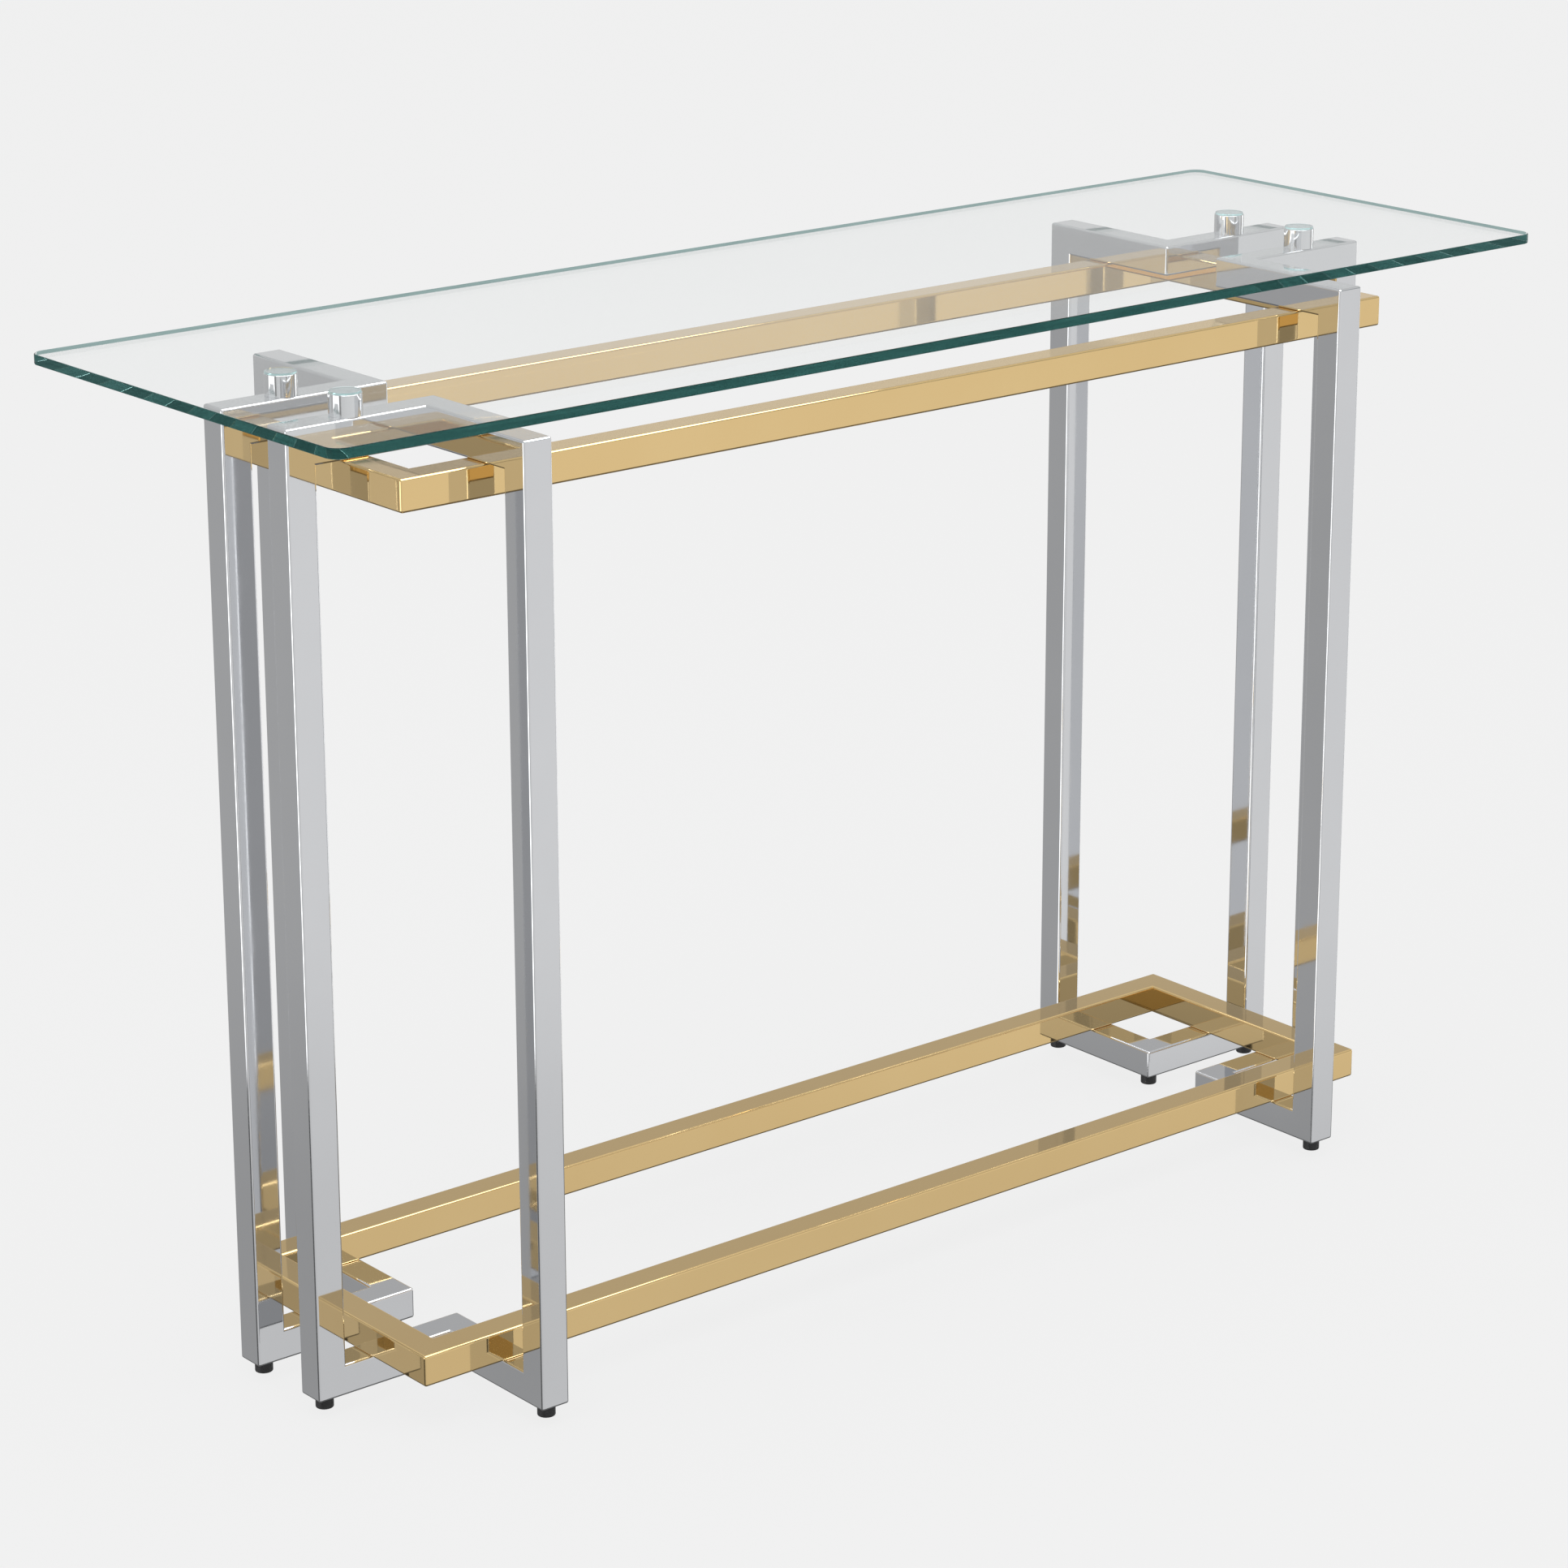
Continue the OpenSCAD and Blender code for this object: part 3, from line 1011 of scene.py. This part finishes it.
def studio_world():
    """A plain pale backdrop, and for mirrors and glass the panels of a small studio."""
    world = bpy.data.worlds.new("studio")
    world.use_nodes = True
    tree = world.node_tree
    tree.nodes.clear()

    def node(kind, **inputs):
        made = tree.nodes.new(kind)
        for name, value in inputs.items():
            socket = made.inputs[int(name[1:])] if name[0] == "_" else made.inputs[name]
            if isinstance(value, bpy.types.NodeSocket):
                tree.links.new(value, socket)
            else:
                socket.default_value = value
        return made

    def maths(operation, first, second=0.0):
        made = node("ShaderNodeMath", _0=first, _1=second)
        made.operation = operation
        return made.outputs[0]

    def step(value, start, stop):
        made = node("ShaderNodeMapRange", Value=value)
        made.interpolation_type = "SMOOTHSTEP"
        made.inputs["From Min"].default_value = start
        made.inputs["From Max"].default_value = stop
        return made.outputs["Result"]

    def mix(amount, first, second):
        made = node("ShaderNodeMixRGB", _0=amount, _1=first, _2=second)
        return made.outputs[0]

    way = node("ShaderNodeTexCoord").outputs["Generated"]
    parts = node("ShaderNodeSeparateXYZ", Vector=way).outputs
    compass = maths("ARCTAN2", parts["Y"], parts["X"])
    turn = maths("ADD", maths("DIVIDE", compass, 2 * pi), 0.5)
    ramp = node("ShaderNodeValToRGB", Fac=turn)
    stops = ramp.color_ramp.elements
    while len(stops) > 1:
        stops.remove(stops[-1])
    for index, (angle, value) in enumerate(SURROUNDINGS):
        place = angle / 360 + 0.5
        stop = stops[0] if index == 0 else stops.new(place)
        stop.position = place
        stop.color = grey(value)
    height = parts["Z"]
    around = ramp.outputs["Color"]
    panels = maths("GREATER_THAN", around, PANEL_LEVEL)
    below_panels = maths("MULTIPLY", panels, step(height, *PANELS_STOP))
    around = mix(below_panels, around, grey(FLAG))
    shaded = node("ShaderNodeVectorMath", _0=around)
    shaded.operation = "SCALE"
    shaded.inputs["Scale"].default_value = LOW_SHADE
    around = mix(step(height, *SHADE_STARTS), around, shaded.outputs[0])
    cyclorama = mix(step(height, *CYCLORAMA_FADES), grey(CYCLORAMA), grey(CYCLORAMA_HIGH))
    walls = mix(step(height, *CYCLORAMA_STARTS), around, cyclorama)
    walls = mix(step(height, *UNDERFOOT_STARTS), walls, grey(UNDERFOOT))
    room = mix(step(height, *OVERHEAD_STARTS), walls, grey(OVERHEAD))
    room = mix(step(height, *CEILING_STARTS), room, grey(CEILING))
    path = node("ShaderNodeLightPath").outputs
    bounced = maths("ADD", path["Glossy Depth"], path["Diffuse Depth"])
    plain = mix(path["Is Transmission Ray"], grey(BACKDROP), grey(BACKDROP * THROUGH_GLASS))
    seen = mix(maths("MINIMUM", bounced, 1.0), plain, room)
    background = node("ShaderNodeBackground", Color=seen)
    node("ShaderNodeOutputWorld", Surface=background.outputs[0])
    scene.world = world


def studio_floor():
    """A wide pale floor that lights itself a little, so that it stays even to the horizon."""
    clear_selection()
    bpy.ops.mesh.primitive_plane_add(size=FLOOR_SIZE, location=(0, 0, -FOOT_TRAVEL))
    floor = bpy.context.object
    floor.name = "studio_floor"
    finish = Finish("pale_floor")
    paint = finish.node("ShaderNodeBsdfDiffuse", Color=grey(FLOOR_PAINT))
    glow = finish.node("ShaderNodeEmission", Color=grey(FLOOR_GLOW))
    through = finish.node("ShaderNodeLightPath").outputs["Is Transmission Ray"]
    strength = finish.between(through, 1.0, THROUGH_GLASS, 0.0, 1.0)
    finish.put(glow.inputs["Strength"], strength)
    both = finish.node("ShaderNodeAddShader")
    finish.put(both.inputs[0], paint.outputs["BSDF"])
    finish.put(both.inputs[1], glow.outputs["Emission"])
    finish.surface(both.outputs["Shader"])
    floor.data.materials.append(finish.material)
    floor.visible_glossy = False


def aim(holder, place, target):
    """Stands a lamp or camera at a place and turns it to a target."""
    holder.location = place
    holder.rotation_euler = (target - place).to_track_quat("-Z", "Y").to_euler()


def softbox(name, place, target, width, power, in_mirrors):
    """A square lamp that either lights dull surfaces or shows in the mirror-bright ones."""
    lamp = bpy.data.lights.new(name, "AREA")
    lamp.shape = "SQUARE"
    lamp.size = width
    lamp.energy = power
    holder = bpy.data.objects.new(name, lamp)
    aim(holder, place, target)
    holder.visible_glossy = in_mirrors
    holder.visible_diffuse = not in_mirrors
    holder.visible_transmission = in_mirrors
    scene.collection.objects.link(holder)


FILL_PLACE, FILL_TARGET = Vector((-0.6, -0.8, 2.8)), Vector((0, 0, 0.3))
FILL_WIDTH, FILL_POWER = 2.6, 30
PANEL_PLACE, PANEL_TARGET = Vector((0.15, -0.85, 2.5)), Vector((0.15, -0.85, 0))
PANEL_WIDTH, PANEL_POWER = 2.5, 64

CAMERA_PLACE = Vector((-2.2644, -2.6993, 1.5008))
CAMERA_TARGET = Vector((-0.0054, 0.0, 0.4234))
CAMERA_SENSOR = 36
CAMERA_LENS = 104.83
CAMERA_SHIFT = (-0.02436, -0.03590)
CAMERA_REACH = 200


def studio_camera():
    """A long lens from the front left, a little above the glass."""
    camera = bpy.data.cameras.new("camera")
    camera.sensor_width = CAMERA_SENSOR
    camera.lens = CAMERA_LENS
    camera.shift_x, camera.shift_y = CAMERA_SHIFT
    camera.clip_end = CAMERA_REACH
    holder = bpy.data.objects.new("camera", camera)
    aim(holder, CAMERA_PLACE, CAMERA_TARGET)
    scene.collection.objects.link(holder)
    scene.camera = holder


studio_world()
studio_floor()
softbox("fill_softbox", FILL_PLACE, FILL_TARGET, FILL_WIDTH, FILL_POWER, False)
softbox(
    "overhead_softbox", PANEL_PLACE, PANEL_TARGET, PANEL_WIDTH, PANEL_POWER, True
)
studio_camera()
